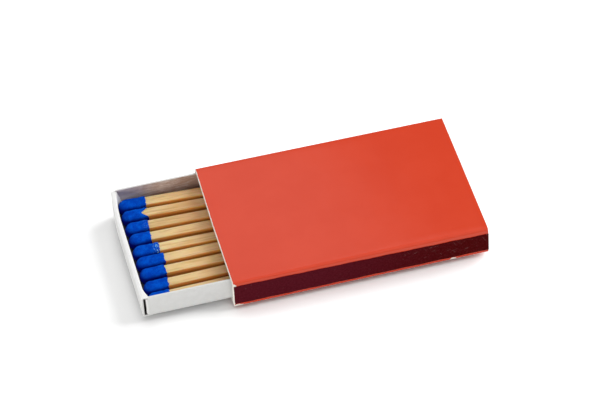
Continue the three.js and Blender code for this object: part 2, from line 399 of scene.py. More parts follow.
def red_card(bench):
    place = object_mm(bench)
    x, y, z = bench.split(place)
    ragged = bench.noise(place, *RAGGED)
    worn = (from_mouth(x, y) - MOUTH_WEAR * (0.1 + 1.8 * ragged)).ramp(*MOUTH_BLUR)
    from_far_end = sleeve_high_mm.x - x
    worn = worn.math("MAXIMUM", (from_far_end - FAR_WEAR * ragged).ramp(*FAR_BLUR))
    for centre, reach in TORN.values():
        torn = bench.spot(place, centre, reach) + TORN_RAGGED * (ragged - 0.5)
        worn = worn.math("MAXIMUM", torn.ramp(*TORN_EDGE))
    red = bench.mix(bench.noise(place, *INK_CLOUD).ramp(*INK_RANGE), RED_DEEP, RED_LIGHT)
    from_side = sleeve_high_mm.y - y.math("ABSOLUTE")
    below_top = sleeve_high_mm.z - z
    lighter_share = from_side.ramp(*RUB_FROM_SIDE) * below_top.ramp(*RUB_BELOW_TOP)
    red = bench.mix(FOLD_RUB * lighter_share * (0.3 + 1.4 * ragged), red, BARE_PAPER)
    grain = bench.noise(place, *VARNISH_GRAIN)
    relief = 0.2 * bench.noise(place, *VARNISH_WAVES) + 0.02 * grain - 0.5 * worn
    return {
        "Base Color": bench.mix(worn, red, BARE_PAPER),
        "Roughness": VARNISH_ROUGHNESS + 0.07 * grain + 0.5 * worn,
        "Normal": bench.bump(relief, VARNISH_RELIEF),
    }


varnished_red = surface("varnished red card", red_card, {"Specular IOR Level": 0.5})

# %% [markdown]
# ## Plain board and cut edges
# Where card is cut it shows its pulp: pale, matt and a little fibrous. The inside of the sleeve is the
# same board, uncoated. A flat pale colour would look like plastic, so one noise gives the pulp's clouds
# and a second, finer one its flecks.

# %% Board
BOARD_SHADE = (0.70, 0.66, 0.60, 1)
BOARD_LIGHT = (0.84, 0.81, 0.76, 1)
PULP_CLOUD = (1.3, 4.0, 0.6)
PULP_FLECK = (9.0, 3.0, 0.7)
PULP_RANGE = (0.35, 0.62)
BOARD_ROUGHNESS = 0.78
BOARD_RELIEF = 0.05 * MM


def plain_board(bench):
    place = object_mm(bench)
    cloud = bench.noise(place, *PULP_CLOUD)
    fleck = bench.noise(place, *PULP_FLECK)
    pulp = (0.6 * cloud + 0.4 * fleck).ramp(*PULP_RANGE)
    return {
        "Base Color": bench.mix(pulp, BOARD_SHADE, BOARD_LIGHT),
        "Roughness": BOARD_ROUGHNESS + 0.15 * fleck,
        "Normal": bench.bump(fleck + 0.6 * cloud, BOARD_RELIEF),
    }


bare_board = surface("bare board", plain_board, {"Specular IOR Level": 0.25})

# %% [markdown]
# ## Striking film
# The film is a maroon paint full of fine grit and mottled. A painted sheen makes it plum at the mouth end,
# turning to rust along the box.
# Matches have been struck near one end, and the strokes leave faint pale streaks at two slants, in
# clusters. Each could be a thin mesh, but they have no height to speak of, so they are noise that is
# stretched along a slant.

# %% Striking film
# Painted sheen: plum towards the mouth end, fading to the rust-red film along the box.
FILM_PLUM_SHEEN = (0.096, 0.0055, 0.0130, 1)
FILM_RUST = (0.073, 0.0004, 0.0003, 1)
PLUM_SHEEN_RANGE = (-13.0, 23.4)
FILM_MOTTLE = (2.4, 4.0, 0.7)
FILM_GRAIN = (0.125, 0.014, 0.022, 1)
GRAIN_RANGE = (0.48, 0.64)
FILM_DARK = (0.055, 0.0010, 0.0025, 1)
DARK_RANGE = (0.5, 0.36)
FILM_SCUFF = (0.26, 0.17, 0.16, 1)
STROKE_SLANTS = (math.radians(20), math.radians(-58))
STROKE_STRETCH = (0.32, 1.0, 3.0)
STROKES = (1.7, 4.0, 0.62)
STROKE_EDGE = (0.6, 0.72)
CLUSTERS = (0.45, 1.0)
CLUSTER_EDGE = (0.38, 0.62)
STRUCK_RANGE = (2.0, 15.0)
SPECKS = (3.2, 1.0)
SPECK_EDGE = (0.74, 0.8)
FILM_GRIT = (8.0, 3.0, 0.7)
FILM_ROUGHNESS = 0.62
FILM_RELIEF = 0.05 * MM


def striking_film(bench):
    place = object_mm(bench)
    x, y, _ = bench.split(place)

    def strokes(slant):
        slanted = bench.node("ShaderNodeMapping", {}, {"Vector": place, "Rotation": (0, slant, 0)})
        return bench.noise(slanted.stretched(STROKE_STRETCH), *STROKES).ramp(*STROKE_EDGE)

    clusters = bench.noise(place, *CLUSTERS).ramp(*CLUSTER_EDGE)
    struck = sum(strokes(slant) for slant in STROKE_SLANTS) * clusters * x.ramp(*STRUCK_RANGE)
    specks = bench.noise(place, *SPECKS).ramp(*SPECK_EDGE)
    grit = bench.noise(place, *FILM_GRIT)
    pale = (1.2 * struck * grit + 0.3 * specks).math("MINIMUM", 1.0)
    mottle = bench.noise(place, *FILM_MOTTLE)
    # Painted sheen towards the mouth end.
    film = bench.mix(x.ramp(*PLUM_SHEEN_RANGE), FILM_PLUM_SHEEN, FILM_RUST)
    film = bench.mix(0.45 * mottle.ramp(*GRAIN_RANGE), film, FILM_GRAIN)
    film = bench.mix(0.4 * mottle.ramp(*DARK_RANGE), film, FILM_DARK)
    film = bench.mix(pale, film, FILM_SCUFF)
    ragged = bench.noise(place, *RAGGED)
    worn = (from_mouth(x, y) - MOUTH_WEAR * (0.3 + 1.8 * ragged)).ramp(*MOUTH_BLUR)
    return {
        "Base Color": bench.mix(worn, film, BARE_PAPER),
        "Roughness": FILM_ROUGHNESS + 0.3 * grit,
        "Normal": bench.bump(grit, FILM_RELIEF),
    }


maroon_film = surface("maroon striking film", striking_film, {"Specular IOR Level": 0.045})

# %% [markdown]
# ## White lining of the tray
# The tray is chipboard with a white lining on one side, which is outside once it is folded, and also on
# the flaps that the ends tuck in. The rolled edges at both ends are painted whiter, a painted highlight
# where they catch the light. Soft light from all sides fills the slit at one corner, so a near-black spot
# is painted there as its shade.

# %% White lining
LINING_SHADE = (0.765, 0.762, 0.742, 1)
LINING_LIGHT = (0.800, 0.797, 0.780, 1)
LINING_CLOUD = (0.8, 4.0, 0.55)
LINING_PULP = (7.0, 3.0, 0.65)
LINING_RANGE = (0.36, 0.62)
LINING_ROUGHNESS = 0.6
LINING_RELIEF = 0.035 * MM
# Painted highlight: the rolled edges at both ends are made whiter where they catch the light.
LINING_ROLLED_HIGHLIGHT = (0.93, 0.93, 0.92, 1)
ROLL_FROM_END = (1.6, 1.1)
ROLL_BELOW_TOP = (0.5, 0.25)
# Painted shade: a near-black spot in the open slit at the front corner.
SLIT = (tray_low_mm.x + 0.65, tray_low_mm.y + 1.1, tray_low_mm.z + 2.3)
SLIT_REACH = (0.36, 1.3, 2.75)
SLIT_EDGE = (0.0, 0.3)
SLIT_PAINTED_SHADE = (0.012, 0.009, 0.008, 1)


def white_lining(bench):
    place = object_mm(bench)
    x, _, z = bench.split(place)
    cloud = bench.noise(place, *LINING_CLOUD)
    pulp = bench.noise(place, *LINING_PULP)
    paper = bench.mix((0.7 * cloud + 0.3 * pulp).ramp(*LINING_RANGE), LINING_SHADE, LINING_LIGHT)
    from_end = (x - tray_low_mm.x).math("MINIMUM", tray_high_mm.x - x)
    below_top = tray_high_mm.z - z
    rolled = from_end.ramp(*ROLL_FROM_END) * below_top.ramp(*ROLL_BELOW_TOP)
    # Painted highlight on the rolled edges.
    paper = bench.mix(rolled, paper, LINING_ROLLED_HIGHLIGHT)
    # Painted shade in the corner slit.
    slit_shade = bench.spot(place, SLIT, SLIT_REACH).ramp(*SLIT_EDGE)
    return {
        "Base Color": bench.mix(0.95 * slit_shade, paper, SLIT_PAINTED_SHADE),
        "Roughness": LINING_ROUGHNESS + 0.2 * pulp,
        "Normal": bench.bump(0.5 * cloud + 0.5 * pulp, LINING_RELIEF),
    }


lining = surface("white lining", white_lining, {"Specular IOR Level": 0.3})

# %% [markdown]
# ## Raw grey board of the tray
# The raw side of the card faces the matches. Its fibres of waste paper mostly run along the card as it
# came off the machine, so their noise is stretched that way. The board is grey at the open end and browner
# under the sleeve, and its darkening towards the sleeve is painted shade of the sleeve. At the open end
# the wall is painted paler low down, as painted light where its foot lies in shade, and a near-black blue
# by the heads on the floor is painted shade. A painted picture could show all this, but masks along the
# tray keep each cause apart.

# %% Grey board
GREY_DARK = (0.205, 0.168, 0.195, 1)
GREY_LIGHT = (0.43, 0.38, 0.44, 1)
BROWN_DARK = (0.39, 0.25, 0.19, 1)
BROWN_LIGHT = (0.69, 0.60, 0.56, 1)
FIBRE_RUN = (0.22, 1.0, 1.5)
FIBRES = (2.2, 6.0, 0.68)
GREY_CLOUD = (0.35, 3.0)
GREY_FLECK = (6.0, 2.0)
FLECK_EDGE = (0.62, 0.74)
TONE_RANGE = (0.36, 0.78)
# The open end of the tray, where the board is grey rather than brown.
OPEN_END_FULL = tray_low_mm.x + 2
OPEN_END_START = tray_low_mm.x + 11
# Painted light: a pale grey laid over the open end, most of all low on the wall, where its foot lies in
# shade.
PAINTED_LIGHT_GREY = (0.76, 0.67, 0.64, 1)
PAINTED_LIGHT_BELOW_TOP = (0.8, 2.6)
PAINTED_LIGHT_HIGH_UP = 0.25
# Painted shade: a near-black blue on the floor and the foot of the walls at the open end, by the heads.
FLOOR_PAINTED_SHADE = (0.010, 0.011, 0.030, 1)
FLOOR_SHADE_HEIGHTS = (tray_low_mm.z + 1.3, tray_low_mm.z + 0.5)
FLOOR_SHADE_START = OPEN_END_START - 3
GREY_ROUGHNESS = 0.85
GREY_RELIEF = 0.06 * MM


def grey_board(bench):
    place = object_mm(bench)
    x, _, z = bench.split(place)
    fibres = bench.noise(place.stretched(FIBRE_RUN), *FIBRES)
    cloud = bench.noise(place, *GREY_CLOUD)
    fleck = bench.noise(place, *GREY_FLECK).ramp(*FLECK_EDGE)
    open_end = x.ramp(OPEN_END_START, OPEN_END_FULL)
    # Painted shade of the sleeve: the board's tone darkens towards it.
    sleeve_shade = x.ramp(OPEN_END_START, sleeve_low_mm.x)
    tone = (0.75 * fibres + 0.4 * cloud - 0.2 * fleck - 0.14 * sleeve_shade).ramp(*TONE_RANGE)
    grey = bench.mix(tone, GREY_DARK, GREY_LIGHT)
    brown = bench.mix(tone, BROWN_DARK, BROWN_LIGHT)
    # Painted light: the open end is made paler, most of all low on the wall, where it lies in shade.
    low_down = (tray_high_mm.z - z).ramp(*PAINTED_LIGHT_BELOW_TOP)
    lighter_share = open_end * (PAINTED_LIGHT_HIGH_UP + (1 - PAINTED_LIGHT_HIGH_UP) * low_down)
    board = bench.mix(lighter_share, bench.mix(open_end, brown, grey), PAINTED_LIGHT_GREY)
    # Painted shade on the floor at the open end, by the heads.
    floor_shade = z.ramp(*FLOOR_SHADE_HEIGHTS) * x.ramp(FLOOR_SHADE_START, OPEN_END_FULL)
    return {
        "Base Color": bench.mix(0.85 * floor_shade, board, FLOOR_PAINTED_SHADE),
        "Roughness": GREY_ROUGHNESS + 0.1 * fibres,
        "Normal": bench.bump(fibres - 0.4 * fleck, GREY_RELIEF),
    }


raw_grey = surface("raw grey board", grey_board, {"Specular IOR Level": 0.2})

# %% [markdown]
# ## Match wood
# Match sticks are chopped from a peeled sheet of aspen or poplar, so the grain runs straight down each
# stick. Two faces are the smooth, pale sheet, and the other two are chopped, rougher and deeper orange;
# their darkest tone, halfway down each side, is painted shade from the neighbouring sticks. The wood turns
# more orange-brown away from the head, and light glows through it. On Object coordinates all sticks would
# look cut from one block, so each carries its own in an attribute, with a shift of its own.

# %% Match wood
WOOD_DARK = (0.46, 0.25, 0.085, 1)
WOOD_TAN = (0.75, 0.51, 0.225, 1)
WOOD_PALE = (0.90, 0.68, 0.36, 1)
WOOD_BROWN = (0.58, 0.34, 0.15, 1)
# More orange-brown further from the head.
WOOD_FAR_FROM_HEAD = (0.86, 0.40, 0.18, 1)
WOOD_CHOPPED = (0.84, 0.38, 0.06, 1)
# Painted shade: the chopped sides darken towards their middle, where neighbouring sticks shade them.
WOOD_DEEP_SHADE = (0.36, 0.115, 0.012, 1)
WOOD_PORE = (0.34, 0.155, 0.042, 1)
BAND_RUN = (0.035, 1.0, 1.0)
BANDS = (1.5, 4.0, 0.6)
BAND_EDGE = (0.44, 0.3)
MOTTLE_RUN = (0.18, 0.8, 0.8)
MOTTLE = (1.0, 3.0, 0.55)
PALE_RANGE = (0.34, 0.56)
TINT_RUN = (0.05, 0.02, 0.02)
TINT = (1.0, 2.0)
TINT_RANGE = (0.45, 0.75)
PORE_RUN = (0.11, 3.2, 3.2)
PORES = (1.3, 3.0, 0.6)
PORE_EDGE = (0.55, 0.7)
FAR_FROM_HEAD_RANGE = (7.0, 17.0)
CHOPPED_RANGE = (-0.2, 0.35)
DEEP_SHADE_RANGE = (0.45, 1.15)
WOOD_ROUGHNESS = 0.62
WOOD_RELIEF = 0.05 * MM
WOOD_FIXED = {
    "Specular IOR Level": 0.25,
    "Subsurface Weight": 0.8,
    "Subsurface Radius": (1.0, 0.45, 0.15),
    "Subsurface Scale": 1.2 * MM,
}


def match_wood(bench):
    grain = attribute(bench, "grain", "Vector")
    along = attribute(bench, "along", "Fac")
    chopped = attribute(bench, "chopped", "Fac")
    bands = bench.noise(grain.stretched(BAND_RUN), *BANDS)
    mottle = bench.noise(grain.stretched(MOTTLE_RUN), *MOTTLE)
    tint = bench.noise(grain.stretched(TINT_RUN), *TINT)
    pores = bench.noise(grain.stretched(PORE_RUN), *PORES)
    wood = bench.mix((0.4 * bands + 0.6 * mottle).ramp(*PALE_RANGE), WOOD_TAN, WOOD_PALE)
    wood = bench.mix(0.4 * bands.ramp(*BAND_EDGE), wood, WOOD_DARK)
    wood = bench.mix(0.5 * tint.ramp(*TINT_RANGE), wood, WOOD_BROWN)
    wood = bench.mix(0.4 * along.ramp(*FAR_FROM_HEAD_RANGE), wood, WOOD_FAR_FROM_HEAD)
    wood = bench.mix(0.85 * chopped.ramp(*CHOPPED_RANGE), wood, WOOD_CHOPPED)
    # Painted shade halfway down each chopped side.
    wood = bench.mix(0.85 * chopped.ramp(*DEEP_SHADE_RANGE), wood, WOOD_DEEP_SHADE)
    open_pores = pores.ramp(*PORE_EDGE)
    return {
        "Base Color": bench.mix(0.42 * open_pores, wood, WOOD_PORE),
        "Roughness": WOOD_ROUGHNESS + 0.2 * open_pores,
        "Normal": bench.bump(bands + 0.5 * pores, WOOD_RELIEF),
    }


split_wood = surface("split match wood", match_wood, WOOD_FIXED)

# %% [markdown]
# ## Head compound
# The head is a paste that dries matt, with fine pits. Its blue is nearly pure, so the shader's own sheen
# is kept low. All but the top of each head is painted a darker blue, as painted shade under its lit top.
# Near the line where the dip ended, some heads have flaked and show specks. The heads could have a
# material each, but one is enough: what differs between them comes in as attributes on their meshes.

# %% Head compound
HEAD_BLUE = (0.0008, 0.096, 0.64, 1)
HEAD_DEEP = (0.0004, 0.050, 0.46, 1)
# Painted shade: all but the top of each head is made this darker blue.
HEAD_SHADED_SIDE = (0.0002, 0.004, 0.21, 1)
HEAD_SPECK = (0.20, 0.42, 0.62, 1)
HEAD_CLOUD = (0.8, 3.0)
HEAD_PITS = (5.0, 3.0, 0.6)
BLUE_RANGE = (0.38, 0.62)
SHADED_SIDE_HEIGHTS = (0.45, 1.3)
FLAKES = (3.6, 1.0)
FLAKE_EDGE = (0.56, 0.62)
FLAKED_TO_LINE = (1.6, 0.7)
HEAD_ROUGHNESS = 0.72
HEAD_RELIEF = 0.1 * MM


def head_compound(bench):
    grain = attribute(bench, "grain", "Vector")
    near_line = attribute(bench, "to_line", "Fac").ramp(*FLAKED_TO_LINE)
    lighter_share = attribute(bench, "height", "Fac").ramp(*SHADED_SIDE_HEIGHTS)
    cloud = bench.noise(grain, *HEAD_CLOUD)
    pits = bench.noise(grain, *HEAD_PITS)
    flakes = bench.noise(grain, *FLAKES).ramp(*FLAKE_EDGE) * near_line * attribute(bench, "flaking", "Fac")
    blue = bench.mix((0.6 * cloud + 0.4 * pits).ramp(*BLUE_RANGE), HEAD_DEEP, HEAD_BLUE)
    # Painted shade: below its top the head turns darker.
    blue = bench.mix(lighter_share, HEAD_SHADED_SIDE, blue)
    return {
        "Base Color": bench.mix(flakes, blue, HEAD_SPECK),
        "Roughness": HEAD_ROUGHNESS + 0.2 * pits,
        "Normal": bench.bump(pits + 0.8 * cloud, HEAD_RELIEF),
    }


cobalt_compound = surface("cobalt head compound", head_compound, {"Specular IOR Level": 0.03})

# %% [markdown]
# ## Glue of the seam
# A thin film of dried glue holds the sleeve's flap behind its front panel. A new mesh with drips could be
# made, but only the film's ends could ever be seen. So the CAD solid stays as it is, with an amber finish
# that is a little streaky.

# %% Glue
GLUE_AMBER = (0.62, 0.46, 0.22, 1)
GLUE_PALE = (0.78, 0.70, 0.52, 1)
GLUE_STREAKS = (0.9, 3.0)
STREAK_RANGE = (0.35, 0.65)
GLUE_ROUGHNESS = 0.35


def dried_glue(bench):
    streaks = bench.noise(object_mm(bench), *GLUE_STREAKS)
    return {
        "Base Color": bench.mix(streaks.ramp(*STREAK_RANGE), GLUE_AMBER, GLUE_PALE),
        "Roughness": GLUE_ROUGHNESS + 0.2 * streaks,
    }


seam_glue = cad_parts["seam_glue"]
seam_glue.data.materials.clear()
seam_glue.data.materials.append(surface("dried glue", dried_glue, {}))

# %% [markdown]
# ## Folding card
# The sleeve and the tray are folded from flat card. Seen edge-on, folded card is a line with round
# corners, and the card lies half its thickness to each side of it. A bent sheet with Solidify would do,
# but working out both sides keeps the folds exact and lets each face take its finish as it is made: one
# number for each side of the card and one for the cuts.

# %% Fold lines and strips of card
FOLD_STEPS = 8
LEFT, RIGHT, CUT = range(3)
CUT_SOFTNESS = 0.05 * MM


def fold_line(corners, radii, cuts):
    """Points along the middle of the card, each with the direction that its left side faces."""
    spots = [Vector(corner) for corner in corners]
    ways = [(b - a).normalized() for a, b in zip(spots, spots[1:])]
    line = []
    begin = spots[0]
    for i, way in enumerate(ways):
        normal = Vector((-way.y, way.x))
        last = i == len(radii)
        turn = 0 if last else math.atan2(way.cross(ways[i + 1]), way.dot(ways[i + 1]))
        end = spots[i + 1] if last else spots[i + 1] - way * (radii[i] * math.tan(abs(turn) / 2))
        line += [(begin.lerp(end, cut / cuts[i]), normal) for cut in range(cuts[i] + 1)]
        if not last:
            arm = normal * math.copysign(radii[i], turn)
            swings = [Matrix.Rotation(turn * step / FOLD_STEPS, 2) for step in range(1, FOLD_STEPS + 1)]
            line += [(end + arm - swing @ arm, swing @ normal) for swing in swings[:-1]]
            begin = end + arm - swings[-1] @ arm
    return line


def card_strip(lines, thickness, place):
    """A closed strip of card, with one fold line for each station."""
    strip = bmesh.new()

    def skin(first, second, finish):
        for a, b, c, d in zip(first, first[1:], second[1:], second):
            strip.faces.new((a, b, c, d)).material_index = finish

    rings = []
    for station, line in enumerate(lines):
        left = [strip.verts.new(place(spot + normal * thickness / 2, station)) for spot, normal in line]
        right = [strip.verts.new(place(spot - normal * thickness / 2, station)) for spot, normal in line]
        rings.append((left, right))
    for (left, right), (next_left, next_right) in zip(rings, rings[1:]):
        skin(left, next_left, LEFT)
        skin(right, next_right, RIGHT)
        for end in (0, -1):
            skin([left[end], right[end]], [next_left[end], next_right[end]], CUT)
    for end in (0, -1):
        skin(*rings[end], CUT)
    bmesh.ops.recalc_face_normals(strip, faces=strip.faces)
    rims = [e for e in strip.edges if len({f.material_index for f in e.link_faces}) > 1]
    bmesh.ops.bevel(
        strip, geom=rims, offset=CUT_SOFTNESS, segments=2, affect="EDGES", profile=0.5, material=CUT
    )
    return strip


def even(first, last, count):
    """Evenly spaced stations, both ends included."""
    return [first + (last - first) * i / count for i in range(count + 1)]


# %% [markdown]
# ## From a mesh to a finished piece
# A cut edge has to stay sharp while a fold is shaded smooth, and an angle tells them apart. Modifiers
# could stay on a piece, but a plain mesh is the same in every program, so they are applied. At last each
# piece is tied to the body that it moves with, and takes the place of a CAD node.

# %% Finished pieces
SHARP_ANGLE = math.radians(38)


def shade(mesh):
    """Smooth shading, with true edges left sharp."""
    mesh.shade_smooth()
    mesh.set_sharp_from_angle(angle=SHARP_ANGLE)


def piece_from(strip, name, finishes):
    mesh = bpy.data.meshes.new(name)
    strip.to_mesh(mesh)
    strip.free()
    for finish in finishes:
        mesh.materials.append(finish)
    shade(mesh)
    made = bpy.data.objects.new(name, mesh)
    bpy.context.scene.collection.objects.link(made)
    print("piece:", name, len(mesh.polygons), "faces")
    return made


def plain(piece):
    """Turns a piece with modifiers into a plain mesh."""
    graph = bpy.context.evaluated_depsgraph_get()
    mesh = bpy.data.meshes.new_from_object(
        piece.evaluated_get(graph), preserve_all_data_layers=True, depsgraph=graph
    )
    piece.modifiers.clear()
    piece.data = mesh
    return piece


def settle(piece, body, node):
    """Ties a finished piece to its body and hides the CAD node that it stands for."""
    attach(piece, body)
    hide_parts(node)


# %% [markdown]
# ## The sleeve
# One card goes once round: up inside the front as the glued flap, under the box, up the back, over the
# top and down the front. Card springs, so the top stands up by a hair in the middle. In use the front
# fold has gone soft towards the far end, and the back corner of the mouth is lifted and out of square.
# A lattice could bend a finished sleeve, but here each point is moved as it is placed.

# %% Sleeve
SLEEVE_CARD = 0.4 * MM
SLEEVE_FOLD = 0.5 * MM
SOFT_FOLD = 0.85 * MM
SEAM_GAP = 0.05 * MM
SEAM_FLAP_TOP = 4.6 * MM
FRONT_PANEL_LIFT = 0.02 * MM
SLEEVE_CUTS = (5, 24, 6, 24, 6)
SLEEVE_STATIONS = 54
TOP_SPRING = 0.12 * MM
SPRING_AT_ENDS = 0.35
MOUTH_LIFT = 0.26 * MM


def at_mouth(x, y):
    """1 at the back corner of the mouth, fading out along the sleeve and across it."""
    along = (sleeve_high.x - x) / (sleeve_high.x - sleeve_low.x)
    return along * max(0.0, y / sleeve_high.y)


def fold_sleeve():
    half = SLEEVE_CARD / 2
    front, back = sleeve_low.y + half, sleeve_high.y - half
    low, top = sleeve_low.z + half, sleeve_high.z - half
    flap = front + SLEEVE_CARD + SEAM_GAP
    corners = [
        (flap, SEAM_FLAP_TOP),
        (flap, low),
        (back, low),
        (back, top),
        (front, top),
        (front, FRONT_PANEL_LIFT),
    ]
    stations = even(sleeve_low.x, sleeve_high.x, SLEEVE_STATIONS)

    def section(x):
        share = (x - sleeve_low.x) / (sleeve_high.x - sleeve_low.x)
        front_fold = SLEEVE_FOLD + (SOFT_FOLD - SLEEVE_FOLD) * share
        radii = [SLEEVE_FOLD - half] * 3 + [front_fold - half]
        return fold_line(corners, radii, SLEEVE_CUTS)

    def place(spot, station):
        x = stations[station]
        along = 1 - (x / sleeve_high.x) ** 2
        across = max(0.0, 1 - (spot.x / sleeve_high.y) ** 2)
        on_top = spot.y > top - SLEEVE_CARD
        spring = TOP_SPRING * (SPRING_AT_ENDS + (1 - SPRING_AT_ENDS) * along) * across if on_top else 0
        share = at_mouth(x, spot.x)
        lift = MOUTH_LIFT * share * max(0.0, spot.y / top)
        return x + MOUTH_SKEW * share, spot.x, spot.y + spring + lift

    strip = card_strip([section(x) for x in stations], SLEEVE_CARD, place)
    return piece_from(strip, "sleeve_wrap", (bare_board, varnished_red, bare_board))


settle(fold_sleeve(), "sleeve", "sleeve")

# %% [markdown]
# ## Striking strips
# Each strip is printed on the side panel. A plain box would look laid on, so the film is a fine grid
# whose long edges wander slightly, as printed paint does, and Solidify gives it its thickness. At the
# back it starts where the skewed mouth does.

# %% Striking strips
STRIP_CELLS = (212, 20)
STRIP_EDGE_WANDER = 0.035 * MM
STRIP_OUT_OF_SQUARE = 0.22 * MM
STRIP_RAISED = 0.15 * MM
STRIP_WAVES = ((0.9, 0.0), (2.3, 1.3), (5.1, 0.4))


def wander(x):
    """A small drift, the same on each run, as a sum of waves."""
    return sum(math.sin(rate * x / MM + start) / (i + 1) for i, (rate, start) in enumerate(STRIP_WAVES))


def print_strip(node, name, facing):
    low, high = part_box(node)
    outer = low.y if facing < 0 else high.y
    columns, rows = STRIP_CELLS
    film = bmesh.new()
    grid = []
    for x in even(low.x, high.x, columns):
        slope = STRIP_OUT_OF_SQUARE * x / low.x
        bottom = low.z + STRIP_RAISED + STRIP_EDGE_WANDER * wander(x)
        top = high.z + slope + STRIP_EDGE_WANDER * wander(-x)
        start = x + MOUTH_SKEW * at_mouth(x, outer)
        grid.append([film.verts.new((start, outer, z)) for z in even(bottom, top, rows)])
    for one, other in zip(grid, grid[1:]):
        for quad in zip(one, other, other[1:], one[1:]):
            film.faces.new(quad if facing < 0 else quad[::-1])
    piece = piece_from(film, name, (maroon_film,))
    coat = piece.modifiers.new("film", "SOLIDIFY")
    coat.thickness = high.y - low.y
    coat.offset = -1
    return plain(piece)


for node, facing in (("striker_front", -1), ("striker_back", 1)):
    settle(print_strip(node, node + "_film", facing), "sleeve", node)

# %% [markdown]
# ## The tray's channel
# The tray's card is folded up into a channel. Its walls turn the corners as short tabs, and each end is
# folded up, rolled over the tabs and tucked inside as a flap, which locks the corner without glue. One
# sheet could be folded up in Blender, but every crease would have to be cut into it first. So each strip
# is made by itself, already folded, and a Boolean joins them. A corner is named by its side, along the
# slide, and its hand, across it.

# %% Tray channel
TRAY_CARD = 0.38 * MM
TRAY_FOLD = 0.5 * MM
TRAY_CORNER = 0.4 * MM
BACK_WALL_RISE = 0.2 * MM
TAB_STANDOFF = {(-1, -1): 0.55 * MM, (-1, 1): 0.12 * MM, (1, -1): 0.2 * MM, (1, 1): 0.12 * MM}
PUSHED_IN = {(-1, -1): 0, (-1, 1): 0.54 * MM, (1, -1): 0, (1, 1): 0.25 * MM}
CHANNEL_CUTS = (5, 24, 5)
CHANNEL_STATIONS = 40

half_card = TRAY_CARD / 2
tray_size = tray_high - tray_low
tray_middle = Vector(((tray_low.x + tray_high.x) / 2, (tray_low.y + tray_high.y) / 2, tray_low.z))
corner_reach = TRAY_CARD + max(TAB_STANDOFF[c] + PUSHED_IN[c] for c in PUSHED_IN) + TRAY_CORNER


def tray_channel():
    wall = tray_size.y / 2 - half_card
    back_top = tray_size.z + BACK_WALL_RISE
    corners = [(-wall, tray_size.z), (-wall, half_card), (wall, half_card), (wall, back_top)]
    line = fold_line(corners, [TRAY_FOLD - half_card] * 2, CHANNEL_CUTS)
    reach = tray_size.x / 2 - corner_reach
    stations = even(-reach, reach, CHANNEL_STATIONS)

    def place(spot, station):
        return tray_middle + Vector((stations[station], *spot))

    return card_strip([line] * len(stations), TRAY_CARD, place)


print("channel stops short of each end by", round(corner_reach / MM, 2), "mm")

# %% [markdown]
# ## Rolled ends
# An end panel goes up, rolls over and comes down inside as a flap. In use one corner is pushed in, the
# flap spreads near the walls, and its foot leans into the tray. Such dents could be sculpted, but with a
# fold line for every station each dent is a length that can be read and changed.

# %% Rolled ends
LAYER_GAP = 0.03 * MM
CARD_OVERLAP = 0.5 * MM
PANEL_EDGE_INSET = 0.15 * MM
FLAP_FLOOR_GAP = 0.3 * MM
ROLL_TIGHT = 0.86 * MM
ROLL_SPREAD = {(-1, -1): 1.7 * MM, (-1, 1): 1.2 * MM, (1, -1): 1.3 * MM, (1, 1): 1.1 * MM}
SPREAD_REACH = {(-1, -1): 3 * MM, (-1, 1): 6 * MM, (1, -1): 3 * MM, (1, 1): 3 * MM}
FLAP_LEAN = {(-1, -1): 0, (-1, 1): 1.6 * MM, (1, -1): 0, (1, 1): 0.4 * MM}
LEAN_REACH = 1.5 * MM
PUSH_REACH = 9 * MM
DENT_POWER = 1.5
END_CUTS = (2, 5, 2, 6)
END_STATIONS = 64


def hand_of(y):
    return 1 if y > 0 else -1


def dent(distance, reach):
    """1 at a corner of the tray, fading to 0 at this reach from it."""
    return max(0.0, 1 - distance / reach) ** DENT_POWER


def pushed_in(side, y):
    """How far an end of the tray is pushed in at this place along it."""
    return PUSHED_IN[side, hand_of(y)] * dent(tray_size.y / 2 - abs(y), PUSH_REACH)


def tray_end(side):
    edge = tray_size.y / 2 - PANEL_EDGE_INSET
    stations = even(-edge, edge, END_STATIONS)
    hinge = tray_size.z - half_card
    foot = TRAY_CARD + FLAP_FLOOR_GAP
    roll = (ROLL_TIGHT - TRAY_CARD) / 2 - LAYER_GAP / 2

    def section(y):
        corner = (side, hand_of(y))
        from_edge = edge - abs(y)
        spread = ROLL_SPREAD[corner] - ROLL_TIGHT
        depth = ROLL_TIGHT + spread * dent(from_edge, SPREAD_REACH[corner])
        lean = FLAP_LEAN[corner] * dent(from_edge, LEAN_REACH)
        outside = tray_size.x / 2 - pushed_in(side, y)

        def inwards(way):
            return side * (outside - way)

        corners = [
            (inwards(corner_reach + CARD_OVERLAP), half_card),
            (inwards(half_card), half_card),
            (inwards(half_card), hinge),
            (inwards(depth - half_card), hinge),
            (inwards(depth + lean - half_card), foot),
        ]
        return fold_line(corners, [TRAY_FOLD - half_card, roll, roll], END_CUTS)

    def place(spot, station):
        return tray_middle + Vector((spot.x, stations[station], spot.y))

    return card_strip([section(y) for y in stations], TRAY_CARD, place)


print("pushed in at the corners, mm:", {corner: round(v / MM, 2) for corner, v in PUSHED_IN.items()})

# %% [markdown]
# ## Corner tabs
# Each wall ends in a tab that turns the corner and lies behind the end panel. One that springs back
# stands off, and leaves the open slit that is seen at one corner. The channel's own strip could be bent
# round the corners, but its floor would have to be cut free first. So each tab is a strip by itself. It
# stands upright, and its stations are heights.

# %% Corner tabs
TAB_LENGTH = 3.0 * MM
TAB_DROP = 0.22 * MM
CORNER_CUTS = (1, 3)
CORNER_STATIONS = 4


